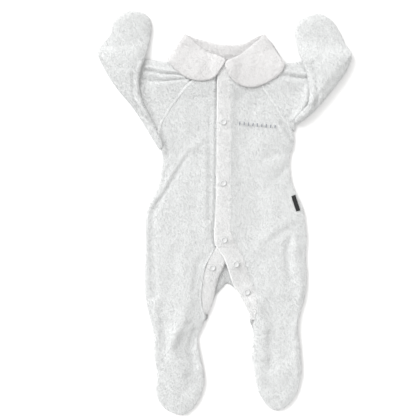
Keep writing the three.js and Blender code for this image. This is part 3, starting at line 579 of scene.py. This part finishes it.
def refined(mesh, boxes):
    """Divides the upper faces in some boxes, given in mm, into nine each."""
    bm = bmesh.new()
    bm.from_mesh(mesh)
    chosen = set()
    for face in bm.faces:
        at = face.calc_center_median() / MM
        inside = any(all(low < c < high for c, (low, high) in zip(at, box)) for box in boxes)
        if inside and face.normal.z > UP_REFINED:
            chosen.update(face.edges)
    bmesh.ops.subdivide_edges(bm, edges=list(chosen), cuts=2, use_grid_fill=True, smooth=0.0)
    bm.to_mesh(mesh)
    bm.free()
    mesh.shade_smooth()
    return mesh


def wander(points, size, seed):
    """Smooth noise from -1 to 1 at points in metres, with hills about `size` metres across."""
    shift = Vector((seed * 17.3, seed * 5.1, seed * 2.7))
    return np.array([noise(Vector(p) / size + shift) for p in points])


def shaped(mesh, node, soft_mm):
    """Sinks and raises the creases on the upper faces, and gives the cloth a slight unevenness."""
    co, normals = vectors_of(mesh, "co"), vectors_of(mesh, "normal")
    x, y, z = (co / MM).T
    up = ramp(normals[:, 2], *UP_SHAPED)
    is_front = node in BAND_PIECES or node.startswith("front")
    rise = crease_heights(x, y, CREASES.get(node, []))
    if is_front:
        # The fronts and the bands sewn to them crease as one cloth.
        rise = (rise + BODY_RELIEF * crease_heights(x, y, BODY_CREASES)) * level_at_snaps(x, y)
    if node.startswith("sleeve"):
        forearm = np.maximum(ramp(z, *FOREARM_HEIGHT), ramp(y, *FOREARM_PAST))
        rise = rise * (1 - forearm) + crease_heights(x, y, FOREARM_CREASES) * forearm
    if is_front:
        rise = rise + crease_heights(x, y, [(line, SEAM_FILL, SEAM_FILL_WIDTH) for line in BAND_SEAMS])
        rise = rise + crease_heights(x, y, [(BAND_SEAMS[1], INSEAM_FILL, SEAM_FILL_WIDTH)])
        # The rounded rims are drawn together until they meet along the seam.
        near = crease_heights(x, y, [(line, 1, SEAM_CLOSE_WIDTH) for line in BAND_SEAMS])
        co[:, :2] += normals[:, :2] * (np.clip(near, 0, 1) * SEAM_CLOSE * MM)[:, None]
    if node in TERRY or node in BAND_PIECES:
        drawn = crease_heights(x, y, [(line, pull, JOIN_WIDTH) for line, pull in JOINS])
        co[:, :2] += normals[:, :2] * (drawn * MM)[:, None]
    if node == "front_right":
        rise = rise + crease_heights(x + GROOVE_OUTSIDE, y, [(BAND_EDGE, -GROOVE, GROOVE_WIDTH)])
        rise = rise + crease_heights(x, y, [(ELBOW_SIDE, ELBOW_RISE, ELBOW_WIDTH)])
    if node in ("front_band", "leg_band_right"):
        co[:, 1] += BAND_REACH * ramp(y, BAND_TOP, BAND_RUN) * MM
    uneven = soft_mm * sum(share * wander(co, size, seed) for share, size, seed in UNEVEN)
    # A crease sinks only the cloth's upper face, so it stays within the cloth's thickness.
    moved = rise + uneven
    moved = np.where(moved < 0, -DEEPEST * np.tanh(-moved / DEEPEST), moved)
    co[:, 2] += moved * up * MM
    move_points(mesh, co)
    return mesh


def tree_of(meshes):
    """One search tree over several meshes."""
    points, faces = [], []
    for mesh in meshes:
        mesh.calc_loop_triangles()
        start = len(points)
        points += [v.co.copy() for v in mesh.vertices]
        faces += [tuple(start + i for i in t.vertices) for t in mesh.loop_triangles]
    return BVHTree.FromPolygons(points, faces)


def mark_shown(mesh, tree, bare_edges):
    """Marks the faces that nothing lies over, so that pile grows only where it can be seen."""
    shown = mesh.attributes.new("shown", "FLOAT", "FACE")
    values = []
    for face in mesh.polygons:
        tilt, height = face.normal.z, face.center.z
        # A face that looks up is tested straight up, and any other along its normal.
        way = Vector((0, 0, 1)) if tilt > UP_SIGHT else face.normal
        covered = tree.ray_cast(face.center + way * SIGHT_START, way, SIGHT_REACH)[0] is not None
        under = height < UNDER_HEIGHT and (tilt < UNDER_TILT or (tilt < 0 and height < UNDER_RIM))
        x, y = face.center.x / MM, face.center.y / MM
        rim = any(float(away_from(x, y, line)) < BARE_RIM for line in bare_edges)
        values.append(0.0 if rim or covered or under else 1.0)
    shown.data.foreach_set("value", values)


def socket_of(group, name):
    """The identifier of a tree's input, which a modifier sets it by."""
    return next(i.identifier for i in group.interface.items_tree if i.name == name and i.in_out == "INPUT")


def new_geometry_tree(name, inputs):
    """An empty Geometry Nodes tree with a Geometry input and output and the named inputs."""
    group = bpy.data.node_groups.new(name, "GeometryNodeTree")
    group.interface.new_socket("Geometry", in_out="INPUT", socket_type="NodeSocketGeometry")
    for label, kind in inputs:
        group.interface.new_socket(label, in_out="INPUT", socket_type=kind)
    group.interface.new_socket("Geometry", in_out="OUTPUT", socket_type="NodeSocketGeometry")
    return group, group.nodes.new("NodeGroupInput"), group.nodes.new("NodeGroupOutput")


def finish_tree(group, given, result, instances):
    """Ends a tree: its instances become real, and get the material."""
    real = add_node(group, "GeometryNodeRealizeInstances", {"Geometry": instances.outputs["Instances"]})
    coloured = add_node(group, "GeometryNodeSetMaterial", {
        "Geometry": real.outputs["Geometry"], "Material": given.outputs["Material"],
    })
    group.links.new(coloured.outputs["Geometry"], result.inputs["Geometry"])
    return group


def pile_tree():
    """Tufts on the shown faces of a cloth: each is a thin spike that leans over along the nap."""
    numbers = ("Tufts", "Length", "Width", "Stand", "Unrest", "Clumping")
    group, given, result = new_geometry_tree("terry_pile", [
        *[(label, "NodeSocketFloat") for label in numbers],
        ("Seed", "NodeSocketInt"), ("Material", "NodeSocketMaterial"),
    ])
    shown = add_node(group, "GeometryNodeInputNamedAttribute", {"Name": "shown"}, data_type="FLOAT")
    points = add_node(group, "GeometryNodeDistributePointsOnFaces", {
        "Mesh": given.outputs["Geometry"], "Selection": shown.outputs["Attribute"],
        "Density": given.outputs["Tufts"], "Seed": given.outputs["Seed"],
    })
    spike = add_node(group, "GeometryNodeMeshCone", {
        "Vertices": 3, "Radius Top": 0.0, "Radius Bottom": given.outputs["Width"],
        "Depth": given.outputs["Length"],
    }, fill_type="NONE")
    upright = add_node(group, "ShaderNodeVectorMath", {
        0: points.outputs["Normal"], "Scale": given.outputs["Stand"],
    }, operation="SCALE")
    lean = add_node(group, "ShaderNodeVectorMath", {0: upright.outputs[0], 1: tuple(NAP)}, operation="ADD")
    stray = add_node(group, "FunctionNodeRandomValue", {
        "Min": (-1.0, -1.0, -1.0), "Max": (1.0, 1.0, 1.0), "Seed": given.outputs["Seed"],
    }, data_type="FLOAT_VECTOR")
    # Tufts of one clump lean the same way, and the clumps lie in streaks along the nap.
    place = add_node(group, "GeometryNodeInputPosition")
    along = add_node(group, "ShaderNodeVectorRotate", {
        "Vector": place.outputs["Position"], "Axis": (0.0, 0.0, 1.0), "Angle": NAP_TURN,
    })
    stretched = add_node(group, "ShaderNodeVectorMath", {
        0: along.outputs["Vector"], 1: (1 / CLUMP_WIDTH, 1 / CLUMP_LENGTH, 1 / CLUMP_WIDTH),
    }, operation="MULTIPLY")
    clump = add_node(group, "ShaderNodeTexNoise", {
        "Vector": stretched.outputs[0], "Scale": 1.0, "Detail": 1.0,
    })
    centred = add_node(group, "ShaderNodeVectorMath", {
        0: clump.outputs["Color"], 1: (0.5, 0.5, 0.5),
    }, operation="SUBTRACT")
    # They turn mostly sideways.
    flatter = add_node(group, "ShaderNodeVectorMath", {
        0: centred.outputs[0], 1: (1.0, 1.0, 0.35),
    }, operation="MULTIPLY")
    heading = lean
    for turning, amount in ((stray, "Unrest"), (flatter, "Clumping")):
        part = add_node(group, "ShaderNodeVectorMath", {
            0: turning.outputs[0], "Scale": given.outputs[amount],
        }, operation="SCALE")
        heading = add_node(group, "ShaderNodeVectorMath", {
            0: heading.outputs[0], 1: part.outputs[0],
        }, operation="ADD")
    turned = add_node(
        group, "FunctionNodeAlignRotationToVector", {"Vector": heading.outputs[0]}, axis="Z",
    )
    # Sockets 2 and 3 hold how short and how long a tuft may be, against the given length.
    grown = add_node(
        group, "FunctionNodeRandomValue", {2: 0.55, 3: 1.3, "Seed": given.outputs["Seed"]}, data_type="FLOAT",
    )
    tufts = add_node(group, "GeometryNodeInstanceOnPoints", {
        "Points": points.outputs["Points"], "Instance": spike.outputs["Mesh"],
        "Rotation": turned.outputs["Rotation"], "Scale": grown.outputs[1],
    })
    return finish_tree(group, given, result, tufts)


def stitch_tree():
    """Short rounded stitches, laid end to end along lines."""
    group, given, result = new_geometry_tree("topstitch", [
        ("Stitch", "NodeSocketFloat"), ("Pitch", "NodeSocketFloat"), ("Thread", "NodeSocketFloat"),
        ("Material", "NodeSocketMaterial"),
    ])
    line = add_node(group, "GeometryNodeMeshToCurve", {"Mesh": given.outputs["Geometry"]})
    marks = add_node(group, "GeometryNodeCurveToPoints", {
        "Curve": line.outputs["Curve"], "Length": given.outputs["Pitch"],
    }, mode="LENGTH")
    thread = add_node(group, "GeometryNodeMeshUVSphere", {
        "Segments": 6, "Rings": 4, "Radius": 0.5,
    })
    size = add_node(group, "ShaderNodeCombineXYZ", {
        "X": given.outputs["Thread"], "Y": given.outputs["Thread"], "Z": given.outputs["Stitch"],
    })
    turned = add_node(
        group, "FunctionNodeAlignRotationToVector", {"Vector": marks.outputs["Tangent"]}, axis="Z",
    )
    laid = add_node(group, "GeometryNodeInstanceOnPoints", {
        "Points": marks.outputs["Points"], "Instance": thread.outputs["Mesh"],
        "Rotation": turned.outputs["Rotation"], "Scale": size.outputs["Vector"],
    })
    return finish_tree(group, given, result, laid)


def grown_by(tree_name, make_tree, mesh, values, name):
    """The plain mesh that a Geometry Nodes tree makes from a mesh."""
    group = bpy.data.node_groups.get(tree_name) or make_tree()
    carrier = bpy.data.objects.new(name, mesh)
    bpy.context.scene.collection.objects.link(carrier)
    maker = carrier.modifiers.new(tree_name, "NODES")
    maker.node_group = group
    for key, value in values.items():
        maker[socket_of(group, key)] = value
    depsgraph = bpy.context.evaluated_depsgraph_get()
    made = bpy.data.meshes.new_from_object(carrier.evaluated_get(depsgraph))
    bpy.data.objects.remove(carrier)
    made.name = name
    return made


def tufts_on(mesh, kind, name):
    """The mesh of the tufts that grow on the shown faces of a mesh."""
    sizes, _ = suit()
    tall, per_cm2 = {
        "pile": (sizes.pile_length, sizes.pile_per_cm2),
        "welt_pile": (sizes.pile_length, sizes.pile_per_cm2 * WELT_PILE),
        "band_pile": (sizes.band_pile, sizes.pile_per_cm2),
        "nap": (sizes.knit_pile, sizes.nap_per_cm2),
    }[kind]
    stand, unrest, clumping = PILE_LIE[kind]
    return grown_by("terry_pile", pile_tree, mesh, {
        "Tufts": per_cm2 * 1e4, "Length": tall, "Width": sizes.pile_width, "Stand": stand, "Unrest": unrest,
        "Clumping": clumping, "Seed": sizes.seed,
        "Material": finish_material("pile" if kind == "welt_pile" else kind),
    }, name)


def grow_pile(shell, node, kind):
    """The pile of one cloth, as a piece of its own."""
    mesh = tufts_on(shell.data, kind, "pile_" + node)
    if not len(mesh.polygons):
        raise RuntimeError(f"no pile grew on {node}")
    # Tufts that would reach below what the suit lies on are pressed flat there.
    co = vectors_of(mesh, "co")
    co[:, 2] = np.maximum(co[:, 2], 0.0)
    move_points(mesh, co)
    return link_piece("pile_" + node, mesh, finish_material(kind))


def with_pile(mesh, name):
    """The mesh of a welt together with the pile on it."""
    shown = mesh.attributes.new("shown", "FLOAT", "FACE")
    shown.data.foreach_set("value", [1.0 if face.normal.z > UP_WELT else 0.0 for face in mesh.polygons])
    both = bmesh.new()
    both.from_mesh(mesh)
    both.from_mesh(tufts_on(mesh, "welt_pile", name + "_pile"))
    both.to_mesh(mesh)
    both.free()
    return mesh


# The pieces that stand for cloth nodes, by node, filled as they are made
SHELLS = {}


def dress(pieces, kind, soft_mm):
    """Replaces CAD cloth with its soft shell, and remembers it for what lies on it."""
    for node, levels in pieces.items():
        mesh = subdivided(merged_copy(node, "cloth_" + node), "cloth_" + node, levels)
        mesh = shaped(refined(mesh, FINE.get(node, [])), node, soft_mm)
        piece = link_piece("cloth_" + node, mesh, finish_material(kind))
        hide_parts(node)
        SHELLS[node] = piece


def face_outward(mesh):
    """Turns the faces of a closed mesh to point out of it."""
    bm = bmesh.new()
    bm.from_mesh(mesh)
    bmesh.ops.recalc_face_normals(bm, faces=bm.faces)
    bm.to_mesh(mesh)
    bm.free()


def surface_height(tree, x_mm, y_mm):
    """The middle one of the cloth's heights at a point and close round it, where some may miss the cloth."""
    around = ((0, 0), (1.6, 0), (-1.6, 0), (0, 1.6), (0, -1.6))
    starts = [Vector(((x_mm + a) * MM, (y_mm + b) * MM, 0.1)) for a, b in around]
    hits = [tree.ray_cast(start, Vector((0, 0, -1)))[0] for start in starts]
    heights = sorted(hit.z for hit in hits if hit is not None)
    if not heights:
        raise RuntimeError(f"no cloth lies at {x_mm:.0f}, {y_mm:.0f} mm")
    return heights[len(heights) // 2]


def evenly(points, step_mm):
    """Points a step apart along a line of (x, y) points."""
    line = np.array(points, float)
    lengths = np.concatenate([[0], np.cumsum(np.hypot(*np.diff(line, axis=0).T))])
    at = np.linspace(0, lengths[-1], max(2, int(lengths[-1] / step_mm)))
    return np.stack([np.interp(at, lengths, line[:, k]) for k in (0, 1)], axis=1)


def beside(points, offset_mm):
    """The line moved sideways, to the left of the way it runs."""
    line = np.array(points, float)
    along = np.gradient(line, axis=0)
    along /= np.maximum(np.hypot(*along.T), 1e-9)[:, None]
    return line + offset_mm * np.stack([-along[:, 1], along[:, 0]], axis=1)


def chest_marks(name, points, tree):
    """A plain row of short upright stitches, which spells nothing."""
    sizes, _ = suit()
    line = evenly(points, sizes.mark_pitch / MM)
    low, high = beside(line, -0.5 * sizes.mark_length / MM), beside(line, 0.5 * sizes.mark_length / MM)
    verts, edges = [], []
    for i, (start, end) in enumerate(zip(low, high)):
        for x, y in (start, (start + end) / 2, end):
            verts.append((x * MM, y * MM, surface_height(tree, x, y) + sizes.mark_raised))
        edges += [(3 * i, 3 * i + 1), (3 * i + 1, 3 * i + 2)]
    mesh = bpy.data.meshes.new(name)
    mesh.from_pydata(verts, edges, [])
    thread = finish_material("thread")
    # Neighbours overlap by more than half, so that each mark is one bar of thread.
    made = grown_by("topstitch", stitch_tree, mesh, {
        "Stitch": sizes.stitch_length, "Pitch": sizes.stitch_length * 0.45, "Thread": sizes.thread,
        "Material": thread,
    }, name)
    return link_piece(name, made, thread)


def closed_tube(name, verts, sides):
    """A mesh round rings of points that follow each other, closed at both ends."""
    faces = []
    for ring in range(0, len(verts) - sides, sides):
        for k in range(sides):
            a, b = ring + k, ring + (k + 1) % sides
            faces.append((a, b, b + sides, a + sides))
    faces += [tuple(range(sides)), tuple(range(len(verts) - sides, len(verts)))]
    mesh = bpy.data.meshes.new(name)
    mesh.from_pydata([tuple(v) for v in verts], [], faces)
    face_outward(mesh)
    return mesh


def welt(name, points, tree, half_width, height):
    """A soft raised seam: an oval ridge that lies over the join of two panels."""
    line = evenly(points, WELT_STEP)
    verts = []
    along = np.gradient(line, axis=0)
    along /= np.hypot(*along.T)[:, None]
    for i, ((x, y), (tx, ty)) in enumerate(zip(line, along)):
        # It tapers over its last few sections, and is seated on the cloth just past each of its sides.
        shrink = min(1.0, 0.35 + 0.25 * min(i, len(line) - 1 - i))
        across = Vector((-ty, tx, 0)) * half_width * shrink
        seats = [surface_height(tree, x + s * across.x / MM, y + s * across.y / MM) for s in (-1.2, 1.2)]
        for k in range(WELT_SIDES):
            angle = 2 * math.pi * k / WELT_SIDES
            share = 0.5 + 0.5 * math.cos(angle)
            base = seats[0] + (seats[1] - seats[0]) * share
            # It is sunk a little, so that its lower half is hidden in the cloth.
            centre = Vector((x * MM, y * MM, base - 0.15 * height))
            lift = Vector((0, 0, height * shrink * math.sin(angle)))
            verts.append(centre + across * math.cos(angle) + lift)
    mesh = closed_tube(name, verts, WELT_SIDES)
    mesh.shade_smooth()
    return link_piece(name, with_pile(mesh, name), finish_material("pile"))


def folded_ribbon(name, node, top, bottom, width):
    """A ribbon folded back on itself, with its fold inward and both its ends at the seam."""
    plan = tree_of([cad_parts[node].data])
    start, end = Vector(top), Vector(bottom)
    across = Vector((start.y - end.y, end.x - start.x)).normalized() * width
    verts = []
    for i in range(RIBBON_ROWS + 1):
        # It keeps just clear of its ends, and its layers lift in a slight wave along it.
        at = start.lerp(end, 0.02 + 0.96 * i / RIBBON_ROWS)
        wave = 0.12 * math.sin(5.3 * i / RIBBON_ROWS + 0.6)
        for w, h in RIBBON_SECTION:
            x, y = at.x + w * across.x, at.y + w * across.y
            # It is seated on what the solid label lies on, 1.2 mm below that label's top.
            base = surface_height(plan, at.x + 0.9 * w * across.x, at.y + 0.9 * w * across.y) - 1.2 * MM
            verts.append((x * MM, y * MM, base + (h + wave * h) * MM))
    return closed_tube(name, verts, len(RIBBON_SECTION))


def turned_cap(node):
    """A snap cap, turned from its section to the size of its node."""
    low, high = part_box(node)
    middle, radius, depth = (low + high) / 2, (high.x - low.x) / 2, high.z - low.z
    verts, faces, rings = [], [], []
    for r, h in CAP_SECTION:
        sides = CAP_SEGMENTS if r else 1
        rings.append(list(range(len(verts), len(verts) + sides)))
        for k in range(sides):
            angle = 2 * math.pi * k / sides
            x = middle.x + r * radius * math.cos(angle)
            verts.append((x, middle.y + r * radius * math.sin(angle), low.z + h * depth))
    for inner, outer in zip(rings, rings[1:]):
        for k in range(CAP_SEGMENTS):
            a, b = inner[k % len(inner)], inner[(k + 1) % len(inner)]
            c, d = outer[(k + 1) % len(outer)], outer[k % len(outer)]
            # A face at the middle has the same point twice, which is kept once.
            faces.append(tuple(dict.fromkeys((a, d, c, b))))
    mesh = bpy.data.meshes.new("cap_" + node)
    mesh.from_pydata(verts, [], faces)
    face_outward(mesh)
    mesh.shade_smooth()
    return mesh


class SleepsuitOperator:
    """What every piece's operator shares."""

    bl_options = {"REGISTER", "UNDO"}


class SLEEPSUIT_OT_stage(SleepsuitOperator, bpy.types.Operator):
    """Lays a pale floor under the suit, and sets the soft light and the camera above it"""

    bl_idname = "sleepsuit.stage"
    bl_label = "Stage"

    def execute(self, context):
        scene = context.scene
        scene.view_settings.view_transform = "Standard"
        floor_mesh = bpy.data.meshes.new("floor")
        ways = ((-1, -1), (1, -1), (1, 1), (-1, 1))
        corners = [(x * FLOOR_REACH, y * FLOOR_REACH, FLOOR_TOP) for x, y in ways]
        floor_mesh.from_pydata(corners, [], [(0, 1, 2, 3)])
        floor = bpy.data.objects.new("floor", floor_mesh)
        scene.collection.objects.link(floor)
        # Matt white paper spreads the light evenly; its flecks are too faint to catch the eye.
        paper = plain_material("matt_white_paper", FLOOR_COLOUR, 0.004, 0.95, 0.0, 25)
        floor.data.materials.append(paper)

        world = bpy.data.worlds.new("soft_room")
        world.use_nodes = True
        background = world.node_tree.nodes["Background"]
        background.inputs["Color"].default_value = ROOM_COLOUR
        background.inputs["Strength"].default_value = ROOM_STRENGTH
        scene.world = world
        for name, way, strength, spread, colour in LAMPS:
            lamp = bpy.data.lights.new(name, "SUN")
            lamp.energy, lamp.angle, lamp.color = strength, math.radians(spread), colour
            holder = bpy.data.objects.new(name, lamp)
            scene.collection.objects.link(holder)
            holder.location = way
            holder.rotation_euler = (-Vector(way)).to_track_quat("-Z", "Y").to_euler()

        camera = bpy.data.cameras.new("camera")
        camera.sensor_width = camera.sensor_height = SENSOR
        camera.lens = LENS
        middle, (origin_x, origin_y) = PHOTO_PIXELS / 2, ORIGIN_PIXEL
        holder = bpy.data.objects.new("camera", camera)
        scene.collection.objects.link(holder)
        holder.location = (
            (middle - origin_x) * PIXEL_MM * MM, (origin_y - middle) * PIXEL_MM * MM,
            PHOTO_PIXELS * PIXEL_MM * MM * LENS / SENSOR,
        )
        scene.camera = holder
        return {"FINISHED"}


class SLEEPSUIT_OT_terry(SleepsuitOperator, bpy.types.Operator):
    """Makes the fronts, the back and the sleeves as soft shells of terry"""

    bl_idname = "sleepsuit.terry"
    bl_label = "Terry panels and sleeves"

    def execute(self, context):
        dress(TERRY, "terry", TERRY_SOFT)
        return {"FINISHED"}


class SLEEPSUIT_OT_knit(SleepsuitOperator, bpy.types.Operator):
    """Makes the collar, the neck's inside and the snap bands in smooth knit"""

    bl_idname = "sleepsuit.knit"
    bl_label = "Collar and bands"

    def execute(self, context):
        dress({node: KNIT[node] for node in KNIT if node not in BAND_PIECES}, "knit", KNIT_SOFT)
        dress({node: KNIT[node] for node in BAND_PIECES}, "band", KNIT_SOFT)
        return {"FINISHED"}


class SLEEPSUIT_OT_label(SleepsuitOperator, bpy.types.Operator):
    """Makes the blank woven label in the side seam"""

    bl_idname = "sleepsuit.label"
    bl_label = "Side label"

    def execute(self, context):
        mesh = folded_ribbon("cloth_side_label", "side_label", LABEL_TOP, LABEL_BOTTOM, LABEL_WIDTH)
        piece = link_piece("cloth_side_label", mesh, finish_material("label"))
        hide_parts("side_label")
        SHELLS["side_label"] = piece
        return {"FINISHED"}


class SLEEPSUIT_OT_seams(SleepsuitOperator, bpy.types.Operator):
    """Lays the raised raglan seams and the plain row of stitches on the chest"""

    bl_idname = "sleepsuit.seams"
    bl_label = "Seams and stitches"

    def execute(self, context):
        tree = tree_of([SHELLS[node].data for node in (*TERRY, *BAND_PIECES)])
        half_width = suit()[0].welt
        welt("seam_raglan_right", RAGLAN_RIGHT, tree, half_width, WELT_HEIGHT)
        welt("seam_raglan_left", RAGLAN_LEFT, tree, half_width, WELT_HEIGHT)
        chest_marks("stitches_chest", CHEST_MARKS, tree)
        return {"FINISHED"}


class SLEEPSUIT_OT_snaps(SleepsuitOperator, bpy.types.Operator):
    """Turns each snap cap finely, with its raised ring and dished middle"""

    bl_idname = "sleepsuit.snaps"
    bl_label = "Snaps"

    def execute(self, context):
        for node in SNAPS:
            cap = link_piece("cap_" + node, turned_cap(node), finish_material("snap"))
            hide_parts(node)
        return {"FINISHED"}


class SLEEPSUIT_OT_pile(SleepsuitOperator, bpy.types.Operator):
    """Grows the pile on the terry and a short nap on the knit, where they show"""

    bl_idname = "sleepsuit.pile"
    bl_label = "Pile"

    def execute(self, context):
        tree = tree_of([shell.data for shell in SHELLS.values()])
        for node, shell in SHELLS.items():
            if node == "side_label":
                continue
            mark_shown(shell.data, tree, BARE_EDGES if node in BAND_PIECES else [])
            kind = "pile" if node in TERRY else "band_pile" if node in BAND_PIECES else "nap"
            grow_pile(shell, node, kind)
        return {"FINISHED"}


OPERATORS = (
    SLEEPSUIT_OT_stage, SLEEPSUIT_OT_terry, SLEEPSUIT_OT_knit, SLEEPSUIT_OT_label, SLEEPSUIT_OT_snaps,
    SLEEPSUIT_OT_seams, SLEEPSUIT_OT_pile,
)


class SLEEPSUIT_PT_panel(bpy.types.Panel):
    """Lists the pieces of the suit in the order in which they are made"""

    bl_label = "Sleepsuit"
    bl_idname = "SLEEPSUIT_PT_panel"
    bl_space_type = "VIEW_3D"
    bl_region_type = "UI"
    bl_category = "Sleepsuit"

    def draw(self, context):
        sizes, colours = suit()
        for group in (sizes, colours):
            for key in group.__annotations__:
                self.layout.prop(group, key)
        for operator in OPERATORS:
            self.layout.operator(operator.bl_idname)


CLASSES = (SuitSizes, SuitColours, *OPERATORS, SLEEPSUIT_PT_panel)


def register():
    for cls in CLASSES:
        bpy.utils.register_class(cls)
    bpy.types.Scene.suit_sizes = PointerProperty(type=SuitSizes)
    bpy.types.Scene.suit_colours = PointerProperty(type=SuitColours)


def unregister():
    del bpy.types.Scene.suit_sizes
    del bpy.types.Scene.suit_colours
    for cls in reversed(CLASSES):
        bpy.utils.unregister_class(cls)


def main():
    register()
    for operator in OPERATORS:
        group, name = operator.bl_idname.split(".")
        getattr(getattr(bpy.ops, group), name)()


if __name__ == "__main__":
    main()
